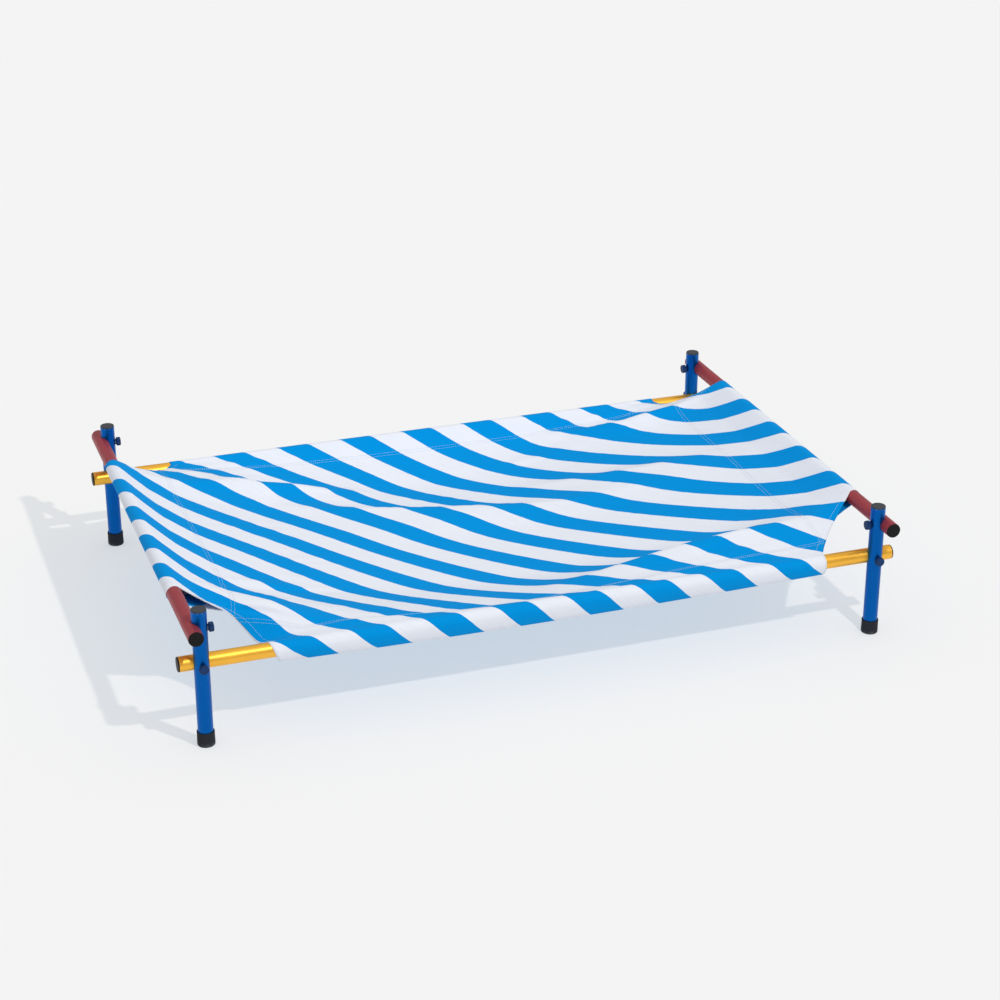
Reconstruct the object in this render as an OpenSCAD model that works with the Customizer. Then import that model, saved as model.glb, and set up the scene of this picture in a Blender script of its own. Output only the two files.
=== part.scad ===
// Raised dog bed: a canvas sling with four sleeves, carried on a knock-down
// frame of four short rails and four legs that thumb screws hold together.
// The bed stands on z = 0 with its middle at x = y = 0, long side along x.

/* [Frame] */
// Outer diameter of every tube
tube_d = 22; // [20:1:25]
// Wall of every tube
tube_wall = 1.5; // [1:0.25:2.5]
// Distance between leg axes along the long side
leg_span_x = 1030; // [900:10:1200]
// Distance between leg axes along the short side
leg_span_y = 690; // [600:10:800]
// Height of a leg with its foot and its cap
leg_h = 211; // [200:1:260]
// Height of the end rails' axes above the floor
end_rail_z = 181; // [170:1:190]
// Height of the side rails' axes above the floor
side_rail_z = 125; // [110:1:140]
// How far each rail runs past the leg's axis
rail_overhang = 30; // [24:1:40]
// Room between a rail and the saddle cut in the leg
saddle_gap = 0.1; // [0.05:0.05:0.3]

/* [Plugs and feet] */
// Thickness of a plug's visible rim
cap_rim = 2; // [1.5:0.5:4]
// Length of a plug inside its tube
cap_depth = 12; // [8:1:20]
// Outer diameter of a rubber foot
foot_d = 25.6; // [24:0.2:30]
// Height of a rubber foot
foot_h = 22; // [15:1:30]
// Rubber under the end of the tube
foot_floor = 4; // [3:0.5:8]

/* [Thumb screws] */
// Diameter of a knob
knob_d = 14; // [12:0.5:18]
// Length of a knob, neck included
knob_l = 8.2; // [7:0.2:12]
// Number of flutes round a knob
knob_flutes = 20; // [12:2:30]
// Diameter of the screw's stud
stud_d = 6; // [5:0.5:8]
// How far the stud reaches into the rail
stud_reach = 8.5; // [6:0.5:9]
// Radial room between the stud and the holes it turns in
stud_gap = 0.06; // [0.02:0.02:0.1]

/* [Sling] */
// Thickness of the canvas
canvas = 1.2; // [1:0.1:2]
// Room between the canvas and the rails
sleeve_gap = 0.35; // [0.3:0.05:1]
// Length of each end rail's sleeve
end_sleeve_l = 490; // [420:10:520]
// Length of each side rail's sleeve
side_sleeve_l = 854; // [780:2:880]
// Distance from an end rail's axis to its sleeve's seam
end_seam = 84; // [50:1:100]
// Distance from a side rail's axis to its sleeve's seam
side_seam = 35; // [30:1:60]
// Height of the canvas at the middle of the bed
lying_z = 88; // [70:1:110]
// How far the cut-away corners curve inwards
notch_curve = 14; // [5:1:20]

/* [Hidden] */
$fn = 64;
TINY = 0.01;
CORNERS = [
    ["front_left", -1, -1],
    ["front_right", 1, -1],
    ["back_left", -1, 1],
    ["back_right", 1, 1]
];
CORNER_PARTS = [
    "leg", "leg_cap", "foot", "end_rail_cap", "side_rail_cap",
    "end_knob", "end_stud", "end_insert", "side_knob", "side_stud", "side_insert"
];

tube_r = tube_d / 2;
tube_in_r = tube_r - tube_wall;
leg_x = leg_span_x / 2;
leg_y = leg_span_y / 2;
// Each rail nests half its depth into the legs: end rails on the outside of
// the legs, side rails on the inside.
end_rail_x = leg_x + tube_r;
side_rail_y = leg_y - tube_r;
end_rail_l = leg_span_y + 2 * rail_overhang;
side_rail_l = leg_span_x + 2 * rail_overhang;
tube_bottom = foot_floor;
tube_top = leg_h - cap_rim;
insert_r = 4.5;
insert_flange_r = 5.5;
insert_flange = 1;
insert_l = 11;
neck_r = 4.6;
neck_l = 1.6;
knob_chamfer = 0.8;
// The knob stands this far off the round face of the leg
knob_stand_off = 0.3;
// How deep the stud sits in the knob
stud_in_knob = 6;
LEG_BLUE = [0.03, 0.28, 0.60];
KNOB_BLUE = [0.05, 0.16, 0.36];
RAIL_RED = [0.62, 0.22, 0.25];
RAIL_GOLD = [0.93, 0.68, 0.10];
CAP_BLACK = [0.10, 0.10, 0.11];
FOOT_BLACK = [0.14, 0.15, 0.17];
ZINC = [0.75, 0.76, 0.78];
CANVAS_BLUE = [0.00, 0.55, 0.88];

// ---- Frame ----

// A tube along z from 0 to l
module tube(l) {
    difference() {
        cylinder(r = tube_r, h = l);
        translate([0, 0, -1]) cylinder(r = tube_in_r, h = l + 2);
    }
}

// Puts its children at a corner's leg, where +x leads out of the bed's end
// and +y leads out of its side
module at_leg(sx, sy) {
    translate([sx * leg_x, sy * leg_y, 0])
        mirror([sx < 0 ? 1 : 0, 0, 0])
            mirror([0, sy < 0 ? 1 : 0, 0])
                children();
}

// Turns a z-wards child so that it points along +x, at the end rail's height
module along_end_screw() {
    translate([0, 0, end_rail_z]) rotate([0, 90, 0]) children();
}

// Turns a z-wards child so that it points along -y, at the side rail's height
module along_side_screw() {
    translate([0, 0, side_rail_z]) rotate([90, 0, 0]) children();
}

module leg(sx, sy) {
    color(LEG_BLUE) at_leg(sx, sy) difference() {
        translate([0, 0, tube_bottom]) tube(tube_top - tube_bottom);
        // saddle for the end rail, on the outside of the bed's end
        translate([tube_r, 0, end_rail_z]) rotate([90, 0, 0])
            cylinder(r = tube_r + saddle_gap, h = 3 * tube_d, center = true);
        // saddle for the side rail, on the inside of the bed's side
        translate([0, -tube_r, side_rail_z]) rotate([0, 90, 0])
            cylinder(r = tube_r + saddle_gap, h = 3 * tube_d, center = true);
        // holes for the two screws, through the wall opposite each saddle
        along_end_screw() translate([0, 0, -tube_d]) cylinder(r = stud_d / 2 + stud_gap, h = tube_d);
        along_side_screw() translate([0, 0, -tube_d]) cylinder(r = stud_d / 2 + stud_gap, h = tube_d);
    }
}

// A plug that stands on the end of a tube at z = 0 and reaches down into it
module plug() {
    rim_r = tube_r - 0.2;
    bevel = 0.6;
    cylinder(r = rim_r, h = cap_rim - bevel);
    translate([0, 0, cap_rim - bevel]) cylinder(r1 = rim_r, r2 = rim_r - bevel, h = bevel);
    translate([0, 0, -cap_depth]) difference() {
        cylinder(r = tube_in_r, h = cap_depth + TINY);
        translate([0, 0, -1]) cylinder(r = tube_in_r - 2, h = cap_depth);
    }
}

module leg_cap(sx, sy) {
    color(CAP_BLACK) at_leg(sx, sy) translate([0, 0, tube_top]) plug();
}

module foot(sx, sy) {
    sole_chamfer = 1.2;
    mouth_chamfer = 0.8;
    foot_r = foot_d / 2;
    color(FOOT_BLACK) at_leg(sx, sy) difference() {
        rotate_extrude() polygon([
            [0, 0],
            [foot_r - sole_chamfer, 0],
            [foot_r, sole_chamfer],
            [foot_r, foot_h - mouth_chamfer],
            [foot_r - mouth_chamfer, foot_h],
            [0, foot_h]
        ]);
        translate([0, 0, foot_floor]) cylinder(r = tube_r, h = foot_h);
    }
}

// An end rail runs along y, and takes a threaded insert at each leg
module end_rail(sx) {
    color(RAIL_RED) translate([sx * end_rail_x, 0, end_rail_z]) difference() {
        rotate([90, 0, 0]) translate([0, 0, -end_rail_l / 2]) tube(end_rail_l);
        for (sy = [-1, 1]) {
            translate([-sx * tube_r, sy * leg_y, 0]) rotate([0, 90, 0])
                cylinder(r = insert_r, h = tube_r, center = true);
        }
    }
}

// A side rail runs along x, and takes a threaded insert at each leg
module side_rail(sy) {
    color(RAIL_GOLD) translate([0, sy * side_rail_y, side_rail_z]) difference() {
        rotate([0, 90, 0]) translate([0, 0, -side_rail_l / 2]) tube(side_rail_l);
        for (sx = [-1, 1]) {
            translate([sx * leg_x, sy * tube_r, 0]) rotate([90, 0, 0])
                cylinder(r = insert_r, h = tube_r, center = true);
        }
    }
}

module end_rail_cap(sx, sy) {
    color(CAP_BLACK) at_leg(sx, sy)
        translate([tube_r, rail_overhang, end_rail_z]) rotate([-90, 0, 0]) plug();
}

module side_rail_cap(sx, sy) {
    color(CAP_BLACK) at_leg(sx, sy)
        translate([rail_overhang, -tube_r, side_rail_z]) rotate([0, 90, 0]) plug();
}

// ---- Thumb screws, drawn along z with the leg's axis at z = 0 ----

// A threaded insert, its flange on the rail and its body inside the rail
module insert() {
    color(ZINC) difference() {
        union() {
            translate([0, 0, -insert_flange]) cylinder(r = insert_flange_r, h = insert_flange);
            cylinder(r = insert_r, h = insert_l);
        }
        translate([0, 0, -tube_r]) cylinder(r = stud_d / 2 + stud_gap, h = 3 * tube_r);
    }
}

module stud() {
    tip_chamfer = 0.7;
    knob_face = tube_r + knob_stand_off;
    foot_of_stud = -knob_face - stud_in_knob;
    color(ZINC) {
        translate([0, 0, foot_of_stud])
            cylinder(d = stud_d, h = stud_reach - tip_chamfer - foot_of_stud);
        translate([0, 0, stud_reach - tip_chamfer])
            cylinder(d1 = stud_d, d2 = stud_d - 2 * tip_chamfer, h = tip_chamfer);
    }
}

// The knob's fluted outline: a polygon whose points alternate in radius
module fluted_disc() {
    flute_depth = 0.7;
    steps = 4 * knob_flutes;
    polygon([for (k = [0 : steps - 1])
        let (r = knob_d / 2 - (k % 4 < 2 ? 0 : flute_depth), a = 360 * k / steps)
        [r * cos(a), r * sin(a)]]);
}

module knob() {
    grip_l = knob_l - neck_l;
    knob_r = knob_d / 2;
    color(KNOB_BLUE) translate([0, 0, -tube_r - knob_stand_off]) difference() {
        union() {
            translate([0, 0, -neck_l - TINY]) cylinder(r = neck_r, h = neck_l + TINY);
            translate([0, 0, -knob_l]) intersection() {
                linear_extrude(grip_l) fluted_disc();
                rotate_extrude() polygon([
                    [0, 0],
                    [knob_r - knob_chamfer, 0],
                    [knob_r, knob_chamfer],
                    [knob_r, grip_l - knob_chamfer],
                    [knob_r - knob_chamfer, grip_l],
                    [0, grip_l]
                ]);
            }
        }
        translate([0, 0, -stud_in_knob - TINY]) cylinder(r = stud_d / 2 + stud_gap, h = tube_r);
    }
}

module end_knob(sx, sy) {
    at_leg(sx, sy) along_end_screw() knob();
}

module end_stud(sx, sy) {
    at_leg(sx, sy) along_end_screw() stud();
}

module end_insert(sx, sy) {
    at_leg(sx, sy) along_end_screw() insert();
}

module side_knob(sx, sy) {
    at_leg(sx, sy) along_side_screw() knob();
}

module side_stud(sx, sy) {
    at_leg(sx, sy) along_side_screw() stud();
}

module side_insert(sx, sy) {
    at_leg(sx, sy) along_side_screw() insert();
}

// ---- Sling ----
// The canvas is a grid of points on its middle surface. Columns run along x
// and rows along y. Past the first and last column and row the canvas wraps
// a rail and comes back under itself to the seam, which makes the sleeves.

// Radius of the canvas's middle surface round a rail
wrap_r = tube_r + sleeve_gap + canvas / 2;
// Slope at which the canvas leaves a rail towards the middle of the bed
leave_angle = 29;
sheet_x = end_rail_x - wrap_r * sin(leave_angle);
sheet_y = side_rail_y - wrap_r * sin(leave_angle);
end_top_z = end_rail_z + wrap_r * cos(leave_angle);
side_top_z = side_rail_z + wrap_r * cos(leave_angle);
columns = 30;
sleeve_rows = 12;
notch_rows = 4;
rows = sleeve_rows + 2 * notch_rows;
// Points round a rail, then points back to the seam
wrap_steps = 11;
return_steps = 3;
flap = wrap_steps + return_steps;
seam_lap = canvas + 0.5;

// From 0 at the end of an end sleeve to 1 at the side rail, for row j
function notch_share(j) = max(0, notch_rows - min(j, rows - j)) / notch_rows;

// Where row j lies across the bed
function row_y(j) = (j < rows / 2 ? -1 : 1) * (notch_share(j) > 0
    ? end_sleeve_l / 2 + notch_share(j) * (sheet_y - end_sleeve_l / 2)
    : abs(2 * (j - notch_rows) / sleeve_rows - 1) * end_sleeve_l / 2);

// Half the length of row j: whole between the end sleeves, less at the corners
function row_half(j) = let (q = notch_share(j))
    sheet_x - q * (sheet_x - side_sleeve_l / 2) - notch_curve * sin(180 * q);

// Height of row j at its ends and at its middle
function row_end_z(j) = end_top_z - (end_top_z - side_top_z) * notch_share(j);
function row_middle_z(j) = lying_z + (side_top_z - lying_z) * pow(abs(row_y(j)) / sheet_y, 4);

// How a row rises from its middle, 0, to its end, 1
function rise(s) = 0.72 * pow(s, 2) + 0.28 * pow(s, 5);

// Place of column i along its row, from -1 to 1, closer together near the ends
function column_share(i) = sin(90 * (2 * i / columns - 1));

function sheet_z(s, j) = row_middle_z(j) + (row_end_z(j) - row_middle_z(j)) * rise(abs(s));

function sheet_point(i, j) = let (s = column_share(i)) [s * row_half(j), row_y(j), sheet_z(s, j)];

// Section of a sleeve, as [outwards, up] from the rail's axis. The canvas
// goes over, round and under the rail, then back inwards to the seam.
function wrap_point(k, seam_out, seam_up) =
    let (
        reach = norm([seam_out, seam_up]),
        // the angle at which a line to the seam touches the underside
        last = atan2(seam_up, seam_out) + acos(wrap_r / reach),
        first = 90 + leave_angle,
        a = first + (last - first) * min(k, wrap_steps) / wrap_steps,
        left = wrap_r * [cos(a), sin(a)],
        share = max(0, k - wrap_steps) / return_steps
    )
    left + share * ([seam_out, seam_up] - left);

// Height of the end sleeve's seam against the rail, and the side sleeve's
end_seam_up = row_middle_z(rows / 2)
    + (end_top_z - row_middle_z(rows / 2)) * rise((end_rail_x - end_seam) / sheet_x)
    - seam_lap - end_rail_z;
side_seam_up = lying_z + (side_top_z - lying_z) * pow((side_rail_y - side_seam) / sheet_y, 4)
    - seam_lap - side_rail_z;

function end_wrap(k, y, sx) = let (w = wrap_point(k, -end_seam, end_seam_up))
    [sx * (end_rail_x + w[0]), y, end_rail_z + w[1]];

function side_wrap(k, x, sy) = let (w = wrap_point(k, -side_seam, side_seam_up))
    [x, sy * (side_rail_y + w[0]), side_rail_z + w[1]];

function canvas_point(i, j) =
    i < 0 ? end_wrap(-i, row_y(min(max(j, 0), rows)), -1)
    : i > columns ? end_wrap(i - columns, row_y(min(max(j, 0), rows)), 1)
    : j < 0 ? side_wrap(-j, sheet_point(i, 0)[0], -1)
    : j > rows ? side_wrap(j - rows, sheet_point(i, rows)[0], 1)
    : sheet_point(i, j);

// Is the square between points (i, j) and (i + 1, j + 1) canvas?
function is_cloth(i, j) =
    let (
        in_columns = i >= 0 && i < columns,
        in_rows = j >= 0 && j < rows,
        by_end_sleeve = j >= notch_rows && j < rows - notch_rows
    )
    i >= -flap && i < columns + flap && j >= -flap && j < rows + flap
    && (in_columns || (in_rows && by_end_sleeve));

function unit(v) = v / norm(v);

// Steps to the neighbours that shape the canvas at (i, j)
function along(i, j) =
    let (
        before = is_cloth(i - 1, j) || is_cloth(i - 1, j - 1),
        after = is_cloth(i, j) || is_cloth(i, j - 1)
    )
    canvas_point(after ? i + 1 : i, j) - canvas_point(before ? i - 1 : i, j);
function across(i, j) =
    let (
        before = is_cloth(i, j - 1) || is_cloth(i - 1, j - 1),
        after = is_cloth(i, j) || is_cloth(i - 1, j)
    )
    canvas_point(i, after ? j + 1 : j) - canvas_point(i, before ? j - 1 : j);

function is_used(i, j) =
    is_cloth(i, j) || is_cloth(i - 1, j) || is_cloth(i, j - 1) || is_cloth(i - 1, j - 1);

// Index of each face's point: upper layer first, then lower layer
grid_i = columns + 2 * flap + 1;
grid_j = rows + 2 * flap + 1;
function upper(i, j) = (j + flap) * grid_i + i + flap;
function lower(i, j) = upper(i, j) + grid_i * grid_j;

function layer(side) = [
    for (j = [-flap : rows + flap]) for (i = [-flap : columns + flap])
    is_used(i, j)
        ? canvas_point(i, j) + side * canvas / 2 * unit(cross(along(i, j), across(i, j)))
        : [0, 0, 0]
];

module sling() {
    cells = [
        for (j = [-flap : rows + flap - 1]) for (i = [-flap : columns + flap - 1])
        if (is_cloth(i, j)) [i, j]
    ];
    color(CANVAS_BLUE) polyhedron(
        points = concat(layer(1), layer(-1)),
        faces = [
            for (c = cells) let (i = c[0], j = c[1]) each [
                [upper(i, j), upper(i, j + 1), upper(i + 1, j + 1)],
                [upper(i, j), upper(i + 1, j + 1), upper(i + 1, j)],
                [lower(i, j), lower(i + 1, j + 1), lower(i, j + 1)],
                [lower(i, j), lower(i + 1, j), lower(i + 1, j + 1)],
                if (!is_cloth(i, j - 1)) each edge_wall(i, j, i + 1, j),
                if (!is_cloth(i, j + 1)) each edge_wall(i + 1, j + 1, i, j + 1),
                if (!is_cloth(i - 1, j)) each edge_wall(i, j + 1, i, j),
                if (!is_cloth(i + 1, j)) each edge_wall(i + 1, j, i + 1, j + 1)
            ]
        ]
    );
}

// The two triangles that close the canvas's thickness along one cell edge
function edge_wall(i0, j0, i1, j1) = [
    [upper(i0, j0), upper(i1, j1), lower(i0, j0)],
    [lower(i0, j0), upper(i1, j1), lower(i1, j1)]
];

// ---- Drawing ----

sling();
end_rail(-1);  // end_rail_left
end_rail(1);  // end_rail_right
side_rail(-1);  // side_rail_front
side_rail(1);  // side_rail_back
for (corner = CORNERS) {
    leg(corner[1], corner[2]);
    leg_cap(corner[1], corner[2]);
    foot(corner[1], corner[2]);
    end_rail_cap(corner[1], corner[2]);
    side_rail_cap(corner[1], corner[2]);
    end_knob(corner[1], corner[2]);
    end_stud(corner[1], corner[2]);
    end_insert(corner[1], corner[2]);
    side_knob(corner[1], corner[2]);
    side_stud(corner[1], corner[2]);
    side_insert(corner[1], corner[2]);
}
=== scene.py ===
"""Raised dog bed: a striped canvas sling on four anodised rails, screwed to four tube legs.

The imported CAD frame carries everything. This script cuts the sling from flat canvas, hangs it
between the rails with a cloth simulation, sews its sleeves round them, and gives every part of
the frame its finish. Lengths are in metres, and names starting with CUT are flat cloth.
"""

import math

import bmesh
import bpy
import numpy as np
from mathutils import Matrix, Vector
from mathutils.bvhtree import BVHTree


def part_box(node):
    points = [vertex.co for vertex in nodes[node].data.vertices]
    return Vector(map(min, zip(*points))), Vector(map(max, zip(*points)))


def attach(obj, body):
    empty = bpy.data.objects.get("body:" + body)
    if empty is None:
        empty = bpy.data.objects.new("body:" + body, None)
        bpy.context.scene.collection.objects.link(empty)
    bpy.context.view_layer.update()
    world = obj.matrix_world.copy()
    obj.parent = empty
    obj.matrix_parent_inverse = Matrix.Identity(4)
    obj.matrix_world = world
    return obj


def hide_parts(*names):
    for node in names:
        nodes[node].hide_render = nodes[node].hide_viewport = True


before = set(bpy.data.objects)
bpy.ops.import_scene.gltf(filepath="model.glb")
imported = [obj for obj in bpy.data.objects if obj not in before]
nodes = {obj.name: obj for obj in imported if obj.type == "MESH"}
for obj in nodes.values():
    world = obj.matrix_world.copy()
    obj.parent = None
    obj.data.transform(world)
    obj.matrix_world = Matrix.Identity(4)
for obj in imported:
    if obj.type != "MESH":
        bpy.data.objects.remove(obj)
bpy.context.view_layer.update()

CORNERS = {
    "front_left": (-1, -1),
    "front_right": (1, -1),
    "back_left": (-1, 1),
    "back_right": (1, 1),
}
MM = 0.001


# ---- Places taken from the frame ----

def middle(node):
    low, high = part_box(node)
    return (low + high) / 2


def half_size(node):
    low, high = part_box(node)
    return (high - low) / 2


END_X = middle("end_rail_right").x
END_Z = middle("end_rail_right").z
SIDE_Y = middle("side_rail_back").y
SIDE_Z = middle("side_rail_back").z
TUBE_R = half_size("end_rail_right").z

# ---- How the sling is cut and sewn ----

# Flat cloth from the middle of the sling to the axis of an end rail, and of a side rail
CUT_END = 537 * MM
CUT_SIDE = 338.7 * MM
# Half the length of the sleeve on an end rail, and on a side rail
END_SLEEVE = 245 * MM
SIDE_SLEEVE = 427 * MM
# From a rail's axis to the seam of its sleeve
END_SEAM = 84 * MM
SIDE_SEAM = 35 * MM
# Between the two lines of stitches along a seam
TWIN_GAP = 5 * MM
# How far the cut-away corners curve inwards
NOTCH_CURVE = 14 * MM
# The side sleeves have slipped this far along their rails
SIDE_SLIP = 8 * MM
CANVAS = 0.7 * MM
# Middle surface of the canvas round a rail
WRAP_R = TUBE_R + 0.5 * MM
# How far the loose side sleeves hang below their rails at mid length, and the share of it at their ends
SLEEVE_HANG = 13.5 * MM
HANG_AT_ENDS = 0.6
# One blue and one white stripe, square across them, and the blue one's share
STRIPE_PERIOD = 76 * MM
BLUE_SHARE = 0.486
# Height of the canvas at the middle of the bed
LYING_Z = 90 * MM

# Grid of the cloth that is simulated, and how many times finer the sling is built
COLUMNS = 106
SLEEVE_ROWS = 48
NOTCH_ROWS = 9
FINER = 2

# Soft folds that the canvas hangs in: points along the ridge, the height half way along
# and the width, all in mm. Each fades out towards its ends.
FOLDS = [
    ([(500, 0), (250, 50), (-300, 50)], 12, 40),
    ([(-500, 250), (-300, 200), (-100, 200)], 15, 35),
    ([(-500, -150), (-350, -300)], 20, 35),
    ([(500, -200), (300, -250), (100, -200)], 10, 35),
    ([(-400, 0), (-200, -100)], 5, 50),
    ([(100, 250), (400, 300)], -10, 30),
]
# Sharper creases that its packing has left in it, in the same form. They fall off steeply at the back,
# in this share of their width.
CREASES = [
    ([(-450, 300), (-300, 200), (-100, 200)], 15, 35),
    ([(-300, 150), (-100, 100), (150, 50)], 15, 35),
    ([(100, 150), (250, 100), (450, 50)], 10, 35),
    ([(0, -250), (250, -250), (500, -250)], 15, 35),
    ([(200, 300), (350, 250), (500, 250)], 20, 30),
    ([(-450, -250), (-300, -300), (0, -350)], 10, 30),
]
BACK_SHARE = 0.5
# The canvas lies this much higher at mid length, and this much lower at its ends, than it hangs
MIDDLE_RISE = 4 * MM
END_FALL = 10 * MM
# The front left corner of the canvas is bunched up: pushed this far back along its rail, and
# this far along its curved edge, most of all nearer the front rail
CORNER_PUSH = 16 * MM
EDGE_PUSH = 42 * MM
PUSH_SKEW = 1.6
# How much further in the lower layer of a sleeve is cut than the upper one
LOWER_INSET = 12 * MM
# The front sleeve's loose loop is pulled this far in along its rail at its left end
LOOP_PULL = 18 * MM
# How far from the middle of the bed the bunching and the pull start, and over what length they grow
BUNCH_FROM = 360 * MM
PULL_FROM = 320 * MM
GROW_OVER = 100 * MM
# Folds and creases fade out over these lengths next to an end rail, and next to a side rail
FADE_AT_END = 40 * MM
FADE_AT_SIDE = 30 * MM
# How round the crest of a crease is, as a share of its width
CREST = 0.2

# The first guess at the hang: where the canvas starts to rise to the side rails, and over what width
FRONT_FROM = 160 * MM
FRONT_OVER = 165 * MM
BACK_FROM = 215 * MM
BACK_OVER = 119 * MM
# A trough along its back: how deep it is, where it lies, how wide it is, and half its length
TROUGH_DEPTH = 7 * MM
TROUGH_Y = 200 * MM
TROUGH_WIDTH = 60 * MM
TROUGH_HALF = 350 * MM
# The share of the rise to an end rail that comes in a steep lip close to it
LIP_SHARE = 0.14
# How firmly the simulated canvas is held to that first guess, where 1 is fast
HOLD = 0.03

# Steps round the loop of a sleeve, and from the rail back to the seam in an end and a side sleeve
LOOP_STEPS = 23
END_FLAP_STEPS = 16
SIDE_FLAP_STEPS = 8
# Clearance between the two layers at a seam, and at a hem
SEAM_GAP = 0.15 * MM
HEM_GAP = 0.1 * MM


def clip01(x):
    return np.clip(x, 0, 1)


def notch_share(v):
    """0 along an end sleeve, rising to 1 at the side rail, for rows at v from the middle."""
    return clip01((abs(v) - END_SLEEVE) / (SIDE_Y - END_SLEEVE))


def bunched(x, y):
    """Where y is once the front left corner of the canvas is bunched up."""
    q = notch_share(y)
    at_corner = clip01(-y / END_SLEEVE) ** 2 * clip01((-x - BUNCH_FROM) / GROW_OVER)
    return y + (CORNER_PUSH * (1 - q) + EDGE_PUSH * np.sin(np.pi * q ** PUSH_SKEW)) * at_corner


def row_half(q, to_end):
    """Half the length of a row, where to_end is the full half length between the end sleeves."""
    return to_end - q * (to_end - SIDE_SLEEVE) - NOTCH_CURVE * np.sin(np.pi * q)


def fold(x, y, points, height, width, sharp=False):
    """Height of one fold: a ridge along a broken line that fades at its ends, round or sharp in section."""
    points = np.array(points) * MM
    steps = np.diff(points, axis=0)
    lengths = np.hypot(*steps.T)
    run = np.r_[0, np.cumsum(lengths)]
    nearest = np.full(x.shape, np.inf)
    along, behind = np.zeros(x.shape), np.zeros(x.shape)
    for start, step, length, run_to in zip(points, steps, lengths, run):
        t = np.clip(((x - start[0]) * step[0] + (y - start[1]) * step[1]) / length, 0, length)
        dx, dy = x - start[0] - t * step[0] / length, y - start[1] - t * step[1] / length
        closer = np.hypot(dx, dy) < nearest
        along = np.where(closer, run_to + t, along)
        behind = np.where(closer, dy > 0, behind)
        nearest = np.minimum(np.hypot(dx, dy), nearest)
    off = nearest / (width * MM)
    if sharp:
        off = off / (1 + (BACK_SHARE - 1) * behind)
        section = np.exp(CREST - np.hypot(off, CREST))
    else:
        section = np.exp(-off ** 2)
    return height * MM * np.sin(np.pi * along / run[-1]) * section


def off_rails(x, y):
    """0 on a rail, rising to 1 a few centimetres away from it."""
    return clip01(np.minimum((END_X - abs(x)) / FADE_AT_END, (SIDE_Y - abs(y)) / FADE_AT_SIDE))


def crease(grid):
    """Presses the creases into a grid of hung points, and bows it a little from end to end."""
    x, y = grid[..., 0], grid[..., 1]
    heights = sum(fold(x, y, *c, sharp=True) for c in CREASES)
    heights += MIDDLE_RISE - (MIDDLE_RISE + END_FALL) * (x / END_X) ** 2
    creased = grid.copy()
    creased[..., 2] += off_rails(x, y) * heights
    return creased


def hanging_height(s, x, y, q):
    """Height of the canvas before it is simulated, at share s of its row's half length."""
    front = np.sin(np.pi / 2 * clip01((-y - FRONT_FROM) / FRONT_OVER)) ** 1.4
    back = clip01((y - BACK_FROM) / BACK_OVER) ** 1.6
    trough = np.exp(-((y - TROUGH_Y) / TROUGH_WIDTH) ** 2) * clip01(1 - abs(x) / TROUGH_HALF)
    lying = LYING_Z - TROUGH_DEPTH * trough
    centre = lying + (SIDE_Z - lying) * np.maximum(front, back)
    end = END_Z - (END_Z - SIDE_Z) * q
    z = centre + (end - centre) * ((1 - LIP_SHARE) * s ** 2 + LIP_SHARE * s ** 8)
    return z + off_rails(x, y) * sum(fold(x, y, *f) for f in FOLDS)


def cut_sheet():
    """The sling between its rails' axes: its flat points and its first guess at the hung ones."""
    s = np.linspace(-1, 1, COLUMNS + 1)[None, :]
    notch = np.linspace(END_SLEEVE, SIDE_Y, NOTCH_ROWS + 1)[1:]
    y = np.r_[-notch[::-1], np.linspace(-END_SLEEVE, END_SLEEVE, SLEEVE_ROWS + 1), notch][:, None]
    q = notch_share(y)
    flat_y = y * (1 + (CUT_SIDE / SIDE_Y - 1) * q)
    flat = np.stack(np.broadcast_arrays(s * row_half(q, CUT_END) + SIDE_SLIP * q, flat_y), -1)
    x, y = np.broadcast_arrays(s * row_half(q, END_X) + SIDE_SLIP * q, y)
    y = bunched(x, y)
    hung = np.stack([x, y, hanging_height(abs(s), x, y, q)], -1)
    return flat, hung


def grid_faces(index):
    return np.stack([index[:-1, :-1], index[:-1, 1:], index[1:, 1:], index[1:, :-1]], -1).reshape(-1, 4)


def settle(flat, hung):
    """Hangs the sheet by its rails under its own weight, and returns where its points come to rest.

    Away from the rails it is held a little to where it starts, which keeps its folds.
    """
    count = hung.shape[0] * hung.shape[1]
    index = np.arange(count).reshape(hung.shape[:2])
    mesh = bpy.data.meshes.new("cloth")
    mesh.from_pydata(hung.reshape(-1, 3).tolist(), [], grid_faces(index).tolist())
    cloth = bpy.data.objects.new("cloth", mesh)
    bpy.context.scene.collection.objects.link(cloth)
    cloth.shape_key_add(name="hung")
    cut = cloth.shape_key_add(name="cut")
    cut.data.foreach_set("co", np.dstack([flat, 0 * flat[..., :1]]).astype(np.float32).ravel())
    on_rail = np.zeros(index.shape, bool)
    on_rail[[0, -1]] = True
    on_rail[NOTCH_ROWS:-NOTCH_ROWS, [0, -1]] = True
    held = cloth.vertex_groups.new(name="held")
    held.add(index[on_rail].tolist(), 1.0, "REPLACE")
    held.add(index[~on_rail].tolist(), HOLD, "REPLACE")
    sim = cloth.modifiers.new("cloth", "CLOTH")
    sim.settings.quality = 6
    sim.settings.mass = 0.02
    sim.settings.tension_stiffness = 60
    sim.settings.compression_stiffness = 60
    sim.settings.shear_stiffness = 20
    sim.settings.bending_stiffness = 0.3
    sim.settings.vertex_group_mass = "held"
    sim.settings.rest_shape_key = cut
    sim.collision_settings.use_collision = False
    frames = 24
    sim.point_cache.frame_end = frames
    scene = bpy.context.scene
    for step in range(1, frames + 1):
        scene.frame_set(step)
    resting = cloth.evaluated_get(bpy.context.evaluated_depsgraph_get()).data
    points = np.empty(3 * count, np.float32)
    resting.vertices.foreach_get("co", points)
    scene.frame_set(1)
    bpy.data.objects.remove(cloth)
    return points.reshape(hung.shape).astype(float)


# ---- From the simulated sheet to the sewn sling ----

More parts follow.
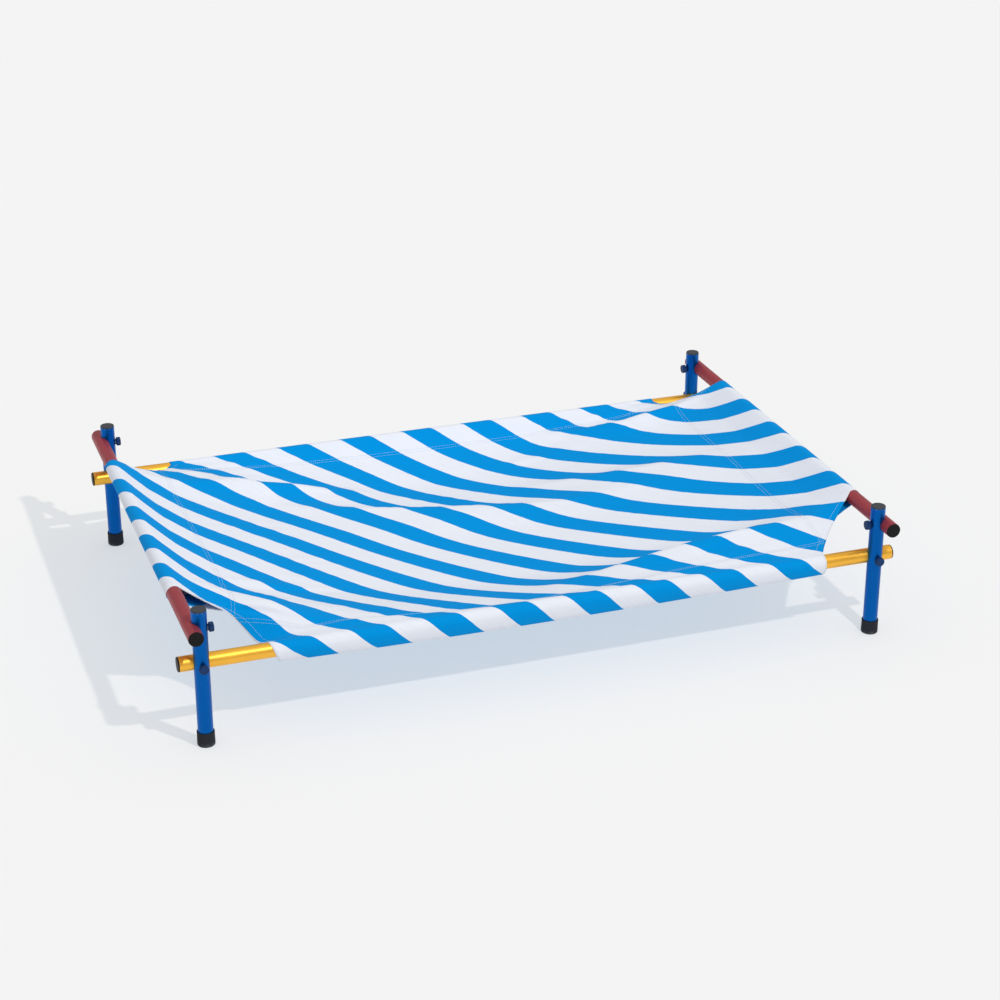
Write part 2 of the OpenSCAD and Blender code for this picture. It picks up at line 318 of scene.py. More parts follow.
def refine(grid, times):
    """A smooth grid through the given one, times finer both ways."""
    for axis in (0, 1):
        g = np.moveaxis(grid, axis, 0)
        before = np.concatenate([2 * g[:1] - g[1:2], g[:-1]])
        after = np.concatenate([g[1:], 2 * g[-1:] - g[-2:-1]])
        slope = (after - before) / 2
        fine = []
        for t in np.arange(times) / times:
            fine.append(
                (2 * t ** 3 - 3 * t ** 2 + 1) * g[:-1] + (t ** 3 - 2 * t ** 2 + t) * slope[:-1]
                + (3 * t ** 2 - 2 * t ** 3) * g[1:] + (t ** 3 - t ** 2) * slope[1:]
            )
        woven = np.stack(fine, 1).reshape(-1, *g.shape[1:])
        grid = np.moveaxis(np.concatenate([woven, g[-1:]]), 0, axis)
    return grid


class Surface:
    """Finds points and normals on a grid of points, for laying hems, flaps and thread on it."""

    def __init__(self, grid):
        index = np.arange(grid[..., 0].size).reshape(grid.shape[:2])
        self.tree = BVHTree.FromPolygons(grid.reshape(-1, 3).tolist(), grid_faces(index).tolist())

    def under(self, x, y):
        """Height of the surface at x, y, or a little nearer the middle where that is off its edge."""
        for share in np.linspace(1, 0.9, 21):
            hit = self.tree.ray_cast(Vector((x * share, y * share, 1)), Vector((0, 0, -1)))[0]
            if hit is not None:
                return hit.z
        return LYING_Z

    def normals(self, points):
        found = [self.tree.find_nearest(Vector(p))[1] for p in points]
        return np.array([n if n.z > 0 else -n for n in found])


def loop_point(angle, hang):
    """A place on the loop of canvas round a rail: outwards of the rail's axis, and above it."""
    return WRAP_R * math.cos(angle), WRAP_R * math.sin(angle) - hang * clip01(-math.sin(angle)) ** 1.5


def loop_lengths(angles, hang):
    """Flat distances round the loop from the first angle to each one, at its usual hang."""
    usual = hang * (1 + HANG_AT_ENDS) / 2
    places = np.array([loop_point(a, usual) for a in angles])
    return np.r_[0, np.cumsum(np.hypot(*np.diff(places, axis=0).T))]


class Sleeve:
    """One sewn sleeve: the loop that the canvas makes round a rail, seen square to the rail.

    out is the direction from the middle of the bed to the rail, axis the rail's place along it,
    seam the flat distance from the rail's axis to the seam, and hang how far the loop hangs down.
    """

    def __init__(self, out, axis, height, seam, cut, hang, half_at, slip, median):
        self.out = np.array(out, float)
        self.along = np.array([-self.out[1], self.out[0], 0])
        self.axis, self.height, self.seam, self.cut, self.hang = axis, height, seam, cut, hang
        self.half_at, self.slip, self.median = half_at, slip, median
        shares = np.linspace(-0.7, 0.7, 15)
        seam_z = np.mean([self.median_point(seam, r)[2] for r in shares])
        reach = math.hypot(seam, height - seam_z)
        rise = math.atan2(height - seam_z, seam)
        self.upper = rise + math.asin(WRAP_R / reach)
        self.lower = rise - math.asin(WRAP_R / reach)
        self.angles = np.linspace(math.pi / 2 + self.upper, self.lower - math.pi / 2, LOOP_STEPS)
        self.run = loop_lengths(self.angles, hang)

    def place(self, outwards, up, along):
        """A point from its place in the section and along the rail."""
        point = self.out * (self.axis + outwards) + self.along * along
        return np.array([point[0], point[1], self.height + up])

    def median_point(self, inwards, share):
        """The middle of the sleeve's two layers, inwards of the rail's axis."""
        flat = self.place(-inwards, 0, share * self.half_at(inwards) + self.slip)
        flat[2] = self.median.under(flat[0], flat[1])
        return flat

    def lift(self, points):
        """Moves the sheet's points near this rail up onto the sleeve's upper layer."""
        inwards = self.axis - points @ self.out
        share = clip01(1 - inwards / self.seam)[..., None]
        normal = -self.out * math.sin(self.upper) + np.array([0, 0, math.cos(self.upper)])
        return points + WRAP_R * share * normal

    def hang_at(self, along):
        """How far the loop hangs down at a place along the rail."""
        share = math.cos(math.pi / 2 * (along - self.slip) / SIDE_SLEEVE)
        return self.hang * (HANG_AT_ENDS + (1 - HANG_AT_ENDS) * share)

    def pulled(self, rows, shares):
        """Rows of the loop, pulled in at the front left end by each row's share of the pull."""
        if self.out[1] >= 0:
            return rows
        pull = LOOP_PULL * clip01((-rows[..., 0] - PULL_FROM) / GROW_OVER) * shares[:, None]
        return rows + pull[..., None] * np.array([1, 0, 0])

    def wrap(self, alongs):
        """Rows of points over, round and under the rail, with the flat distance of each row."""
        rows = [[self.place(*loop_point(a, self.hang_at(w)), w) for w in alongs] for a in self.angles]
        return self.pulled(np.array(rows), self.run / self.run[-1]), self.cut + self.run

    def flap(self, edge, cut_edge, steps):
        """Rows of points from the rail's underside back to the seam, their flat distances and widths.

        edge is where the sleeve's points lie along the rail, and cut_edge where they lie in flat cloth.
        """
        under = self.out * math.sin(self.lower) - np.array([0, 0, math.cos(self.lower)])
        gap = np.array([0, 0, CANVAS + SEAM_GAP])
        ways = np.linspace(0, 1, steps + 1)
        insets = LOWER_INSET * np.sin(np.pi / 2 * clip01(2 * ways))
        widths = np.array([self.half_at(way * self.seam) for way in ways]) - insets
        widths = widths / widths[0]
        rows = [[self.place(*loop_point(self.angles[-1], self.hang_at(w)), w) for w in edge]]
        for way, width in zip(ways[1:], widths[1:]):
            row = [self.place(-way * self.seam, 0, w) for w in (cut_edge - self.slip) * width + self.slip]
            for point, along in zip(row, edge):
                point[1] = bunched(point[0], point[1])
                point[2] = self.median.under(point[0], point[1]) - (1 - way) ** 1.3 * self.hang_at(along)
            rows.append(np.array(row) + WRAP_R * (1 - way) * under - way * gap)
        rows = self.pulled(np.array(rows), 1 - ways)
        return rows, self.cut + self.run[-1] + ways * self.seam, widths


def notch_outline():
    """Points (from the middle along x, along y) on the curved edge of a cut-away corner."""
    q = np.linspace(0, 1, 60)
    return row_half(q, END_X), END_SLEEVE + q * (SIDE_Y - END_SLEEVE)


def half_along_end(inwards):
    """Half the width of the canvas along y, at a distance inwards of an end rail's axis."""
    x, y = notch_outline()
    return float(np.interp(END_X - inwards, x[::-1], y[::-1]))


def half_along_side(inwards):
    """Half the width of the canvas along x, at a distance inwards of a side rail's axis."""
    x, y = notch_outline()
    return float(np.interp(SIDE_Y - inwards, y, x))


class Patchwork:
    """Collects grids of points into one mesh whose UVs are the flat cloth's own coordinates."""

    def __init__(self):
        self.points, self.flat, self.faces = [], [], []
        self.size = 0

    def add(self, points, flat, first_row=None, flip=False):
        """Adds a grid. Its first row may be points that are in the mesh already."""
        index = np.arange(self.size, self.size + points[..., 0].size).reshape(points.shape[:2])
        self.points.append(points.reshape(-1, 3))
        self.flat.append(flat.reshape(-1, 2))
        self.size += index.size
        if first_row is not None:
            index = index.copy()
            index[0] = first_row
        faces = grid_faces(index)
        self.faces.append(faces[:, ::-1] if flip else faces)
        return index

    def mesh(self, name):
        points, flat = np.concatenate(self.points), np.concatenate(self.flat)
        faces = np.concatenate(self.faces)
        used, packed = np.unique(faces, return_inverse=True)
        mesh = bpy.data.meshes.new(name)
        mesh.from_pydata(points[used].tolist(), [], packed.reshape(faces.shape).tolist())
        layer = mesh.uv_layers.new(name="cut")
        layer.data.foreach_set("uv", flat[faces.ravel()].astype(np.float32).ravel())
        mesh.polygons.foreach_set("use_smooth", np.ones(len(faces), bool))
        return mesh


def sew(flat, median):
    """The whole sling as one layer of canvas, and the surface that its seams are stitched on."""
    below = Surface(median)
    sleeves = [
        Sleeve((sx, 0, 0), END_X, END_Z, END_SEAM, CUT_END, 0, half_along_end, 0, below)
        for sx in (-1, 1)
    ] + [
        Sleeve((0, sy, 0), SIDE_Y, SIDE_Z, SIDE_SEAM, CUT_SIDE, SLEEVE_HANG, half_along_side,
               -sy * SIDE_SLIP, below)
        for sy in (-1, 1)
    ]
    top = median
    for sleeve in sleeves:
        top = sleeve.lift(top)
    patch = Patchwork()
    main = patch.add(top, flat)
    first, last = NOTCH_ROWS * FINER, main.shape[0] - NOTCH_ROWS * FINER
    borders = [
        (main[first:last, 0], flat[first:last, 0], END_FLAP_STEPS),
        (main[first:last, -1], flat[first:last, -1], END_FLAP_STEPS),
        (main[0], flat[0], SIDE_FLAP_STEPS),
        (main[-1], flat[-1], SIDE_FLAP_STEPS),
    ]
    cloth = np.concatenate(patch.points)
    for sleeve, (edge, edge_flat, flap_steps) in zip(sleeves, borders):
        out, along = sleeve.out[:2], sleeve.along[:2]
        alongs = cloth[edge] @ sleeve.along
        rows, reach = sleeve.wrap(alongs)
        edge_along = edge_flat @ along
        flats = reach[:, None, None] * out + edge_along[None, :, None] * along
        flip = sleeve.along[0] + sleeve.along[1] > 0
        wrap = patch.add(rows, flats, edge, flip)
        rows, reach, widths = sleeve.flap(alongs, edge_along, flap_steps)
        flap_along = (edge_along - sleeve.slip) * widths[:, None] + sleeve.slip
        flats = reach[:, None, None] * out + flap_along[..., None] * along
        patch.add(rows, flats, wrap[-1], flip)
    hem(patch, top, flat)
    return patch.mesh("sling"), top


def hem(patch, top, flat):
    """The turned-under hem along each cut-away corner: a second layer a few millimetres wide."""
    width = 2 * FINER
    rows = NOTCH_ROWS * FINER
    drop = np.array([0, 0, CANVAS + HEM_GAP])
    for at_rows in (slice(1, rows + 1), slice(-rows - 1, -1)):
        for at_columns in (slice(0, width), slice(-width, None)):
            patch.add(top[at_rows, at_columns] - drop, flat[at_rows, at_columns])


def seam_line(top, flat, axis, place):
    """The line on the sling's surface where the flat coordinate axis has the value place."""
    grid, cut = (top, flat[..., 0]) if axis == 0 else (np.swapaxes(top, 0, 1), flat[..., 1].T)
    line = []
    for points, at in zip(grid, cut):
        if at[0] < place < at[-1]:
            k = np.searchsorted(at, place)
            t = (place - at[k - 1]) / (at[k] - at[k - 1])
            line.append(points[k - 1] * (1 - t) + points[k] * t)
    return np.array(line)


def evenly(line, pitch):
    """Points a pitch apart along a line."""
    run = np.r_[0, np.cumsum(np.linalg.norm(np.diff(line, axis=0), axis=1))]
    at = np.arange(pitch, run[-1] - pitch / 2, pitch)
    return np.stack([np.interp(at, run, line[:, k]) for k in range(3)], -1)


def stitch(lines, surface):
    """Sewing thread along lines on the canvas: a row of short stitches, sunk at their ends."""
    pitch, length, radius, sides = 3.6 * MM, 2.6 * MM, 0.2 * MM, 5
    turn = np.arange(sides) * 2 * math.pi / sides
    rings = [(-0.5, 0.3, -0.5), (-0.38, 0.85, 0.2), (0, 1, 0.5), (0.38, 0.85, 0.2), (0.5, 0.3, -0.5)]
    points, faces, size = [], [], 0
    ring_faces = [
        [r * sides + k, r * sides + (k + 1) % sides, (r + 1) * sides + (k + 1) % sides, (r + 1) * sides + k]
        for r in range(len(rings) - 1) for k in range(sides)
    ]
    caps = [list(range(sides))[::-1], [(len(rings) - 1) * sides + k for k in range(sides)]]
    for line in lines:
        centres = evenly(line, pitch)
        ahead = np.gradient(centres, axis=0)
        ahead /= np.linalg.norm(ahead, axis=1)[:, None]
        up = surface.normals(centres)
        across = np.cross(up, ahead)
        for side in (1, -1):
            offset = (CANVAS / 2 if side > 0 else CANVAS * 1.5 + 0.2 * MM) * side * up
            for c, a, b, n in zip(centres + offset, ahead, across, up * side):
                for way, girth, sunk in rings:
                    ring = (np.cos(turn)[:, None] * b + np.sin(turn)[:, None] * n) * radius * girth
                    points.append(c + a * way * length + n * radius * sunk + ring)
                faces += [[size + k for k in face] for face in ring_faces + caps]
                size += sides * len(rings)
    mesh = bpy.data.meshes.new("thread")
    mesh.from_pydata(np.concatenate(points).tolist(), [], faces)
    mesh.polygons.foreach_set("use_smooth", np.ones(len(faces), bool))
    return mesh


def seam_lines(top, flat):
    """Twin lines of stitches on each sleeve's seam, and a line along each hemmed corner."""
    lines = []
    for twin in (-TWIN_GAP / 2, TWIN_GAP / 2):
        for sign in (-1, 1):
            lines.append(seam_line(top, flat, 0, sign * (CUT_END - END_SEAM) + twin))
            lines.append(seam_line(top, flat, 1, sign * (CUT_SIDE - SIDE_SEAM) + twin))
    rows = NOTCH_ROWS * FINER
    inset = FINER + 1
    for at_rows in (slice(0, rows + 1), slice(-rows - 1, None)):
        for column in (inset, -1 - inset):
            lines.append(top[at_rows, column])
    return lines


def add(name, mesh, material, body="frame"):
    piece = bpy.data.objects.new(name, mesh)
    bpy.context.scene.collection.objects.link(piece)
    mesh.materials.append(material)
    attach(piece, body)
    return piece


# ---- Materials ----

def srgb(red, green, blue):
    """A colour given in 0 to 255, as the shader wants it."""
    shares = [c / 255 for c in (red, green, blue)]
    return tuple(c / 12.92 if c < 0.04 else ((c + 0.055) / 1.055) ** 2.4 for c in shares) + (1,)


def scaled(colour, factor):
    return tuple(c * factor for c in colour[:3]) + (1,)


CANVAS_WHITE = srgb(230, 234, 243)
CANVAS_BLUE = srgb(0, 144, 219)
BARE_METAL = srgb(196, 198, 204)
DUST = srgb(120, 122, 126)


class Finish:
    """A material with one Principled shader, fed by short chains of nodes."""

    def __init__(self, name, **even):
        self.material = bpy.data.materials.new(name)
        self.material.use_nodes = True
        self.tree = self.material.node_tree
        self.shader = self.tree.nodes["Principled BSDF"]
        for socket, value in even.items():
            self.shader.inputs[socket.replace("_", " ")].default_value = value

    def node(self, kind, inputs, out=0, **settings):
        node = self.tree.nodes.new("ShaderNode" + kind)
        for key, value in settings.items():
            setattr(node, key, value)
        for key, value in inputs.items():
            if isinstance(value, bpy.types.NodeSocket):
                self.tree.links.new(value, node.inputs[key])
            else:
                node.inputs[key].default_value = value
        return node.outputs[out]

    def calc(self, operation, a, b=0.0):
        return self.node("Math", {0: a, 1: b}, operation=operation)

    def place(self):
        return self.node("TexCoord", {}, out="Object")

    def noise(self, place, scale, detail=2.0):
        """Noise from 0 to 1 whose grains are 1/scale metres, with a scale for each axis."""
        stretched = self.node("Mapping", {"Vector": place, "Scale": scale})
        return self.node("TexNoise", {"Vector": stretched, "Scale": 1.0, "Detail": detail})

    def ramp(self, value, low, high, start=0.0, end=1.0):
        """Goes smoothly from start to end as the value goes from low to high."""
        limits = {0: value, 1: low, 2: high, 3: start, 4: end}
        return self.node("MapRange", limits, interpolation_type="SMOOTHSTEP")

    def mix(self, share, a, b):
        return self.node("Mix", {0: share, 6: a, 7: b}, out=2, data_type="RGBA")

    def connect(self, socket, value):
        self.tree.links.new(value, self.shader.inputs[socket])

    def bump(self, height, distance):
        """Bump whose full height, in metres, is distance."""
        normal = self.node("Bump", {"Height": height, "Distance": distance})
        self.connect("Normal", normal)


def canvas_finish():
    """Striped cotton canvas. Its stripes run at 45 degrees to the edges of the flat cloth."""
    cloth = Finish("striped_canvas", Sheen_Weight=0.015, Sheen_Roughness=0.5, Specular_IOR_Level=0.03)
    cut = cloth.node("UVMap", {}, uv_map="cut")
    # x runs across the stripes and y along them, and so do the two sets of yarns
    yarns = cloth.node("Mapping", {"Vector": cut, "Rotation": (0, 0, -math.pi / 4)})
    across = cloth.node("SeparateXYZ", {"Vector": yarns}, out="X")
    warp = cloth.noise(yarns, (1500, 70, 1))
    weft = cloth.noise(yarns, (70, 1500, 1))
    slub = cloth.noise(yarns, (600, 16, 1))
    ragged = cloth.ramp(warp, 0.3, 0.7, -0.003, 0.003)
    phase = cloth.calc("ADD", cloth.calc("DIVIDE", across, STRIPE_PERIOD), 0.5 - BLUE_SHARE / 2)
    from_middle = cloth.calc("ABSOLUTE", cloth.calc("SUBTRACT", cloth.calc("FRACT", phase), 0.5))
    edge = BLUE_SHARE / 2
    blue = cloth.ramp(cloth.calc("ADD", from_middle, ragged), edge - 0.003, edge + 0.003, 1, 0)
    stripes = cloth.mix(blue, CANVAS_WHITE, CANVAS_BLUE)
    woven = cloth.calc("ADD", warp, weft)
    groove, pucker = seam_grooves(cloth, cut)
    tone = cloth.calc("ADD", cloth.ramp(woven, 0.6, 1.4, 0.965, 1.0), cloth.ramp(slub, 0.3, 0.7, -0.02, 0.02))
    # Painted shade: the canvas colour is darkened in the stitch grooves, where shade falls.
    tone = cloth.calc("SUBTRACT", tone, cloth.calc("MULTIPLY", groove, 0.04))
    shaded = cloth.node("VectorMath", {0: stripes, "Scale": tone}, operation="SCALE")
    cloth.connect("Base Color", shaded)
    cloth.connect("Roughness", cloth.ramp(woven, 0.6, 1.4, 0.78, 0.92))
    height = cloth.calc("ADD", woven, cloth.calc("MULTIPLY", slub, 1.2))
    height = cloth.calc("SUBTRACT", height, cloth.calc("MULTIPLY", groove, 5.0))
    cloth.bump(cloth.calc("ADD", height, pucker), 0.06 * MM)
    return cloth.material


def seam_grooves(cloth, cut):
    """1 in the grooves that the twin stitches press into the canvas, and the puckers beside them."""
    flat = cloth.node("VectorMath", {0: cut}, operation="ABSOLUTE")
    parts = cloth.node("SeparateXYZ", {"Vector": flat}, out="X")
    grooves, puckers = None, None
    for axis, seam in (("X", CUT_END - END_SEAM), ("Y", CUT_SIDE - SIDE_SEAM)):
        off = cloth.calc("ABSOLUTE", cloth.calc("SUBTRACT", parts.node.outputs[axis], seam))
        from_stitch = cloth.calc("ABSOLUTE", cloth.calc("SUBTRACT", off, TWIN_GAP / 2))
        groove = cloth.ramp(from_stitch, 0, 1.3 * MM, 1, 0)
        along = (6, 160, 1) if axis == "X" else (160, 6, 1)
        pucker = cloth.calc("MULTIPLY", cloth.noise(cut, along), cloth.ramp(off, 2 * MM, 14 * MM, 9, 0))
        grooves = groove if grooves is None else cloth.calc("MAXIMUM", grooves, groove)
        puckers = pucker if puckers is None else cloth.calc("ADD", puckers, pucker)
    return grooves, puckers


def thread_finish():
    thread = Finish("white_thread", Roughness=0.6, Sheen_Weight=0.2)
    twist = thread.noise(thread.place(), (2500, 2500, 2500))
    thread.connect("Base Color", thread.mix(twist, srgb(190, 214, 236), srgb(226, 234, 244)))
    thread.bump(twist, 0.1 * MM)
    return thread.material


def anodised_finish(name, colour, along, ends, metallic, roughness):
    """Anodised aluminium tube: fine drawing lines along its axis, scuffs, and worn ends."""
    tube = Finish(name, Metallic=metallic)
    place = tube.place()
    lines = tube.noise(place, [9 if k == along else 1100 for k in range(3)], 3)
    patina = tube.noise(place, (28, 28, 28), 4)
    grain = tube.noise(place, (1700, 1700, 1700))
    dyed = tube.mix(patina, scaled(colour, 0.86), scaled(colour, 1.1))
    dyed = tube.mix(tube.ramp(lines, 0.35, 0.75, 0, 0.22), dyed, scaled(colour, 1.35))
    spots = tube.noise(place, (420, 420, 420), 4)
    at = tube.node("SeparateXYZ", {"Vector": place}, out="XYZ"[along])
    inside = tube.calc("MINIMUM", tube.calc("SUBTRACT", at, ends[0]), tube.calc("SUBTRACT", ends[1], at))
    worn = tube.calc("MULTIPLY", tube.ramp(inside, 0, 3 * MM, 0.25, 0), tube.ramp(spots, 0.5, 0.66))
    scuffs = tube.noise(place, [60 if k == along else 500 for k in range(3)], 4)
    worn = tube.calc("MAXIMUM", worn, tube.ramp(scuffs, 0.68, 0.76, 0, 0.15))
    tube.connect("Base Color", tube.mix(worn, dyed, BARE_METAL))
    drawn = tube.ramp(lines, 0.3, 0.7, roughness - 0.06, roughness + 0.06)
    tube.connect("Roughness", tube.calc("ADD", drawn, tube.ramp(patina, 0.3, 0.7, -0.04, 0.04)))
    tube.bump(tube.calc("ADD", lines, tube.calc("MULTIPLY", grain, 0.4)), 0.02 * MM)
    return tube.material


def moulded_finish(name, colour, roughness, grain_size, dust=0.0):
    """Moulded plastic or rubber: a fine grain, uneven gloss, and pale dust low down."""
    plastic = Finish(name, Specular_IOR_Level=0.18)
    place = plastic.place()
    grain = plastic.noise(place, [1 / grain_size] * 3, 3)
    cloud = plastic.noise(place, (120, 120, 120), 3)
    tinted = plastic.mix(cloud, scaled(colour, 0.8), scaled(colour, 1.25))
    height = plastic.node("SeparateXYZ", {"Vector": place}, out="Z")
    low_down = plastic.ramp(height, 0, 9 * MM, dust, 0)
    dusty = plastic.calc("MULTIPLY", low_down, plastic.ramp(cloud, 0.35, 0.65))
    plastic.connect("Base Color", plastic.mix(dusty, tinted, DUST))
    plastic.connect("Roughness", plastic.ramp(cloud, 0.3, 0.7, roughness - 0.07, roughness + 0.07))
    plastic.bump(grain, 0.04 * MM)
    return plastic.material


def zinc_finish():
    zinc = Finish("bright_zinc", Metallic=1.0)
    place = zinc.place()
    mottle = zinc.noise(place, (260, 260, 260), 4)
    zinc.connect("Base Color", zinc.mix(mottle, srgb(160, 163, 170), srgb(212, 212, 208)))
    zinc.connect("Roughness", zinc.ramp(mottle, 0.3, 0.7, 0.24, 0.42))
    zinc.bump(zinc.noise(place, (2200, 2200, 2200)), 0.01 * MM)
    return zinc.material


LEG_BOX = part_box("leg_front_left")
END_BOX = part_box("end_rail_left")
SIDE_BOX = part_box("side_rail_front")
END_TIPS = (END_BOX[0].y, END_BOX[1].y)
SIDE_TIPS = (SIDE_BOX[0].x, SIDE_BOX[1].x)
BLUE_TUBE = anodised_finish("blue_anodised", srgb(0, 92, 174), 2, (-1, LEG_BOX[1].z), 0.92, 0.36)
RED_TUBE = anodised_finish("red_anodised", srgb(163, 58, 66), 1, END_TIPS, 0.45, 0.46)
GOLD_TUBE = anodised_finish("gold_anodised", srgb(252, 189, 70), 0, SIDE_TIPS, 0.9, 0.35)
TOP_PLUG = moulded_finish("grey_plastic", srgb(62, 64, 68), 0.5, 0.5 * MM)
PLUG = moulded_finish("black_plastic", srgb(14, 13, 14), 0.5, 0.5 * MM)
RUBBER = moulded_finish("foot_rubber", srgb(35, 38, 44), 0.72, 0.7 * MM, dust=0.3)
KNOB = moulded_finish("navy_plastic", srgb(18, 52, 98), 0.42, 0.5 * MM)
ZINC = zinc_finish()


# ---- Turned hardware ----

def rounded(profile, radius=0.4, steps=4):
    """The same outline, in mm, with its corners rounded off."""
    points = np.array(profile, float)
    smooth = [points[0]]
    for before, corner, after in zip(points, points[1:], points[2:]):
        start, end = [
            corner + side * min(radius / np.linalg.norm(side), 0.45)
            for side in (before - corner, after - corner)
        ]
        for t in np.linspace(0, 1, steps + 1):
            smooth.append((1 - t) ** 2 * start + 2 * t * (1 - t) * corner + t ** 2 * end)
    return smooth + [points[-1]]


def axes_about(axis):
    """Two directions square to the axis and to each other, and the axis itself."""
    axis = Vector(axis)
    first = axis.orthogonal().normalized()
    return [np.array(v) for v in (first, axis.cross(first), axis)]


def turned(name, profile, origin, axis, steps=64, shape=None):
    """A mesh turned about an axis from (radius, height) points in mm, from the axis back to it.

    shape may change a ring's radii: it takes the radius and the angles.
    """
    first, second, up = axes_about(axis)
    angles = np.arange(steps) * 2 * math.pi / steps
    points, faces, rings = [], [], []
    for radius, height in profile:
        radii = shape(radius, angles) if shape else radius + 0 * angles
        count = 1 if radius < 1e-6 else steps
        rings.append(np.arange(len(points), len(points) + count))
        for r, angle in zip(radii[:count], angles):
            point = r * (math.cos(angle) * first + math.sin(angle) * second) + height * up
            points.append(np.array(origin) + point * MM)
    for low, high in zip(rings, rings[1:]):
        for k in range(steps):
            after = k + 1
            corners = [low[k % len(low)], low[after % len(low)], high[after % len(high)], high[k % len(high)]]
            faces.append([int(c) for c in dict.fromkeys(corners)])
    mesh = bpy.data.meshes.new(name)
    mesh.from_pydata([list(p) for p in points], [], faces)
    mesh.polygons.foreach_set("use_smooth", np.ones(len(faces), bool))
    mesh.set_sharp_from_angle(angle=math.radians(50))
    return mesh


# Outlines in mm. Heights start at the end of the tube, at the floor, and at the knob's inner face.
PLUG_OUTLINE = rounded([
    (0, -1.4), (7.6, -1.4), (7.6, -12), (9.2, -12), (9.45, -11.4), (9.45, 0.02),
    (10.8, 0.02), (10.8, 1.5), (10.3, 2.0), (9.3, 2.0), (9.0, 1.7), (6, 1.8), (3, 1.87), (0, 1.9),
])
FOOT_OUTLINE = rounded([
    (0, 0.7), (7.6, 0.7), (8.2, 0), (11.5, 0), (12.7, 1.2), (12.75, 3.5), (12.5, 17), (12.7, 20.4),
    (12.5, 21.6), (12.1, 22), (11.5, 22), (11.08, 21.5), (11.08, 4.02), (0, 4.02),
], 0.7)
KNOB_OUTLINE = rounded([
    (0, 6.05), (3.1, 6.05), (3.1, 0), (4.35, 0), (4.6, 0.25), (4.6, 1.6), (6.3, 1.6), (7, 2.3),
    (7, 7.5), (6.3, 8.2), (5.1, 8.2), (4.8, 7.9), (2, 7.95), (0, 8),
], 0.3, 3)
KNOB_STAND_OFF = 0.3 * MM
FLUTES = 20
# In mm: how deep the flutes are, the radius where they start, and the width over which they deepen
FLUTE_DEPTH = 0.75
FLUTES_FROM = 5.2
FLUTES_OVER = 1.4
# In mm: how far a stud goes into its knob, and past the axis of its leg
STUD_IN_KNOB = 6
STUD_REACH = 8.5


def fluted(radius, angles):
    """Finger flutes round the grip of a knob, fading out towards its middle."""
    depth = FLUTE_DEPTH * float(clip01((radius - FLUTES_FROM) / FLUTES_OVER))
    return radius - depth * (0.5 - 0.5 * np.cos(FLUTES * angles)) ** 1.4


def threaded_stud(name, origin, axis, start, end):
    """An M6 stud from start to end, in mm along the axis: a core with a helical ridge round it."""
    core, pitch, turn_steps = 2.62, 1.0, 24
    mesh = turned(name, [(0, start), (core, start), (core, end - 0.7), (core - 0.7, end), (0, end)],
                  origin, axis, 32)
    first, second, up = axes_about(axis)
    ridge = [(core - 0.1, 0.06), (2.97, 0.44), (2.97, 0.56), (core - 0.1, 0.94)]
    steps = int((end - start - 1.8) / pitch * turn_steps)
    points, faces = [], []
    for k in range(steps + 1):
        angle = 2 * math.pi * k / turn_steps
        fade = min(1, k / 12, (steps - k) / 12)
        for radius, height in ridge:
            r = core - 0.1 + (radius - core + 0.1) * fade
            point = r * (math.cos(angle) * first + math.sin(angle) * second)
            point = point + (start + height + pitch * k / turn_steps) * up
            points.append(list(np.array(origin) + point * MM))
        if k:
            a, b = 4 * (k - 1), 4 * k
            faces += [[a + j, b + j, b + j + 1, a + j + 1] for j in range(3)]
    ridge_mesh = bpy.data.meshes.new("ridge")
    ridge_mesh.from_pydata(points, [], faces)
    joined = bmesh.new()
    joined.from_mesh(mesh)
    joined.from_mesh(ridge_mesh)
    joined.to_mesh(mesh)
    joined.free()
    bpy.data.meshes.remove(ridge_mesh)
    return mesh


def refinish(node, material):
    for slot in nodes[node].material_slots:
        slot.material = material


def fit_plug(name, node, origin, axis, material=PLUG):
    plug = add(name, turned(name, PLUG_OUTLINE, origin, axis), material)
    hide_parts(node)


def fit_thumb_screw(kind, corner, leg_axis, outwards):
    """A thumb screw at a leg: its stud slides out along outwards, and its knob turns on the stud."""
    knob_face = leg_axis + outwards * (TUBE_R + KNOB_STAND_OFF)
    mesh = turned("knob", KNOB_OUTLINE, knob_face, outwards, 8 * FLUTES, fluted)
    knob = add(f"{kind}_thumb_knob_{corner}", mesh, KNOB, f"{kind}_knob_{corner}")
    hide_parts(f"{kind}_knob_{corner}")
    end = (TUBE_R + KNOB_STAND_OFF) / MM + STUD_IN_KNOB
    mesh = threaded_stud("stud", leg_axis, -outwards, -end, STUD_REACH)
    stud = add(f"{kind}_threaded_stud_{corner}", mesh, ZINC, f"{kind}_screw_{corner}")
    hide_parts(f"{kind}_stud_{corner}")
    refinish(f"{kind}_insert_{corner}", ZINC)


def build_corner(corner, sx, sy):
    leg = middle(f"leg_{corner}")
    refinish(f"leg_{corner}", BLUE_TUBE)
    foot = add(f"rubber_foot_{corner}", turned("foot", FOOT_OUTLINE, (leg.x, leg.y, 0), (0, 0, 1)),
               RUBBER)
    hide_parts(f"foot_{corner}")
    leg_top = Vector((leg.x, leg.y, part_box(f"leg_{corner}")[1].z))
    end_y = END_BOX[1].y if sy > 0 else END_BOX[0].y
    side_x = SIDE_BOX[1].x if sx > 0 else SIDE_BOX[0].x
    fit_plug(f"leg_plug_{corner}", f"leg_cap_{corner}", leg_top, (0, 0, 1), TOP_PLUG)
    fit_plug(f"end_plug_{corner}", f"end_rail_cap_{corner}", (sx * END_X, end_y, END_Z), (0, sy, 0))
    fit_plug(f"side_plug_{corner}", f"side_rail_cap_{corner}", (side_x, sy * SIDE_Y, SIDE_Z), (sx, 0, 0))
    fit_thumb_screw("end", corner, Vector((leg.x, leg.y, END_Z)), Vector((-sx, 0, 0)))
    fit_thumb_screw("side", corner, Vector((leg.x, leg.y, SIDE_Z)), Vector((0, sy, 0)))


